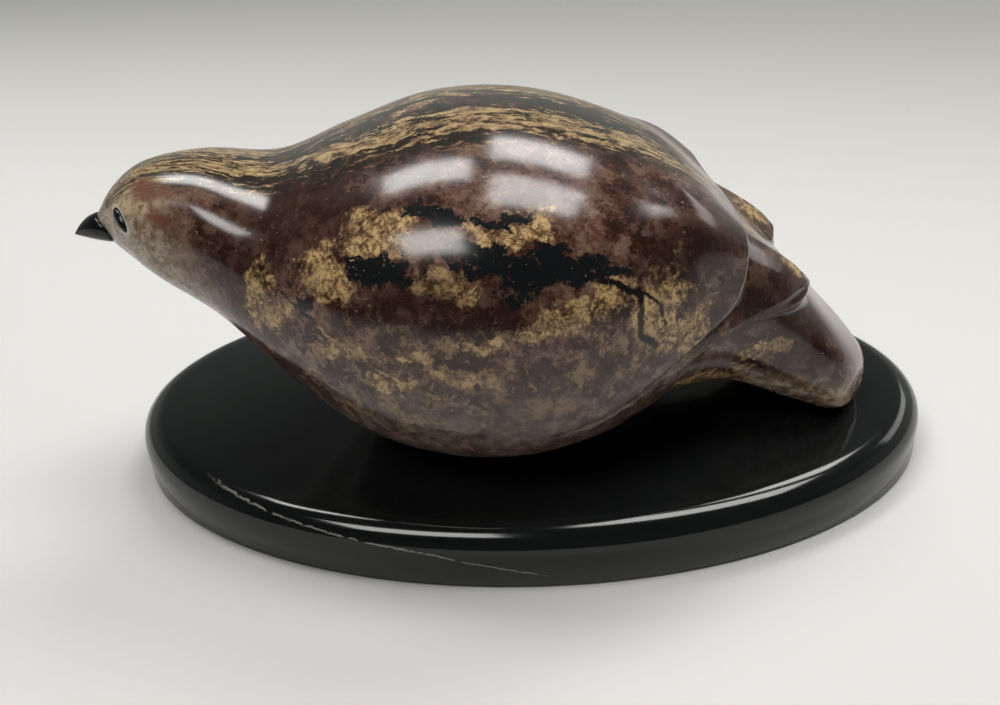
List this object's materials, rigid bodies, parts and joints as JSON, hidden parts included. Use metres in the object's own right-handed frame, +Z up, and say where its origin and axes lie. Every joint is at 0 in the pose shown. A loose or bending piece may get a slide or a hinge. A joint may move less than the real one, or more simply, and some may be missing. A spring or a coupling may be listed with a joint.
{
  "type": "stone bird carving on a plinth",
  "caption": "Polished stone carving of a plump crouching bird with layered wing edges, inlaid dark eyes and beak, resting on a flat oval black stone plinth.",
  "frame": {"origin": "centre of the plinth's flat underside, on the surface it stands on", "axes": "+X along the plinth's length, from the bird's head towards its tail; +Y across, towards the bird's right side; +Z up"},
  "size_m": [0.21, 0.124, 0.097],
  "materials": {
    "plinth": "polished black stone with one thin pale vein",
    "bird": "polished purple-brown soapstone mottled with ochre, black and grey",
    "beak": "polished black stone",
    "eye_left": "polished black stone inlay",
    "eye_right": "polished black stone inlay"
  },
  "bodies": {
    "root": {"plinth": "plinth", "bird": "bird", "beak": "beak", "eye_left": "eye_left", "eye_right": "eye_right"}
  },
  "joints": []
}
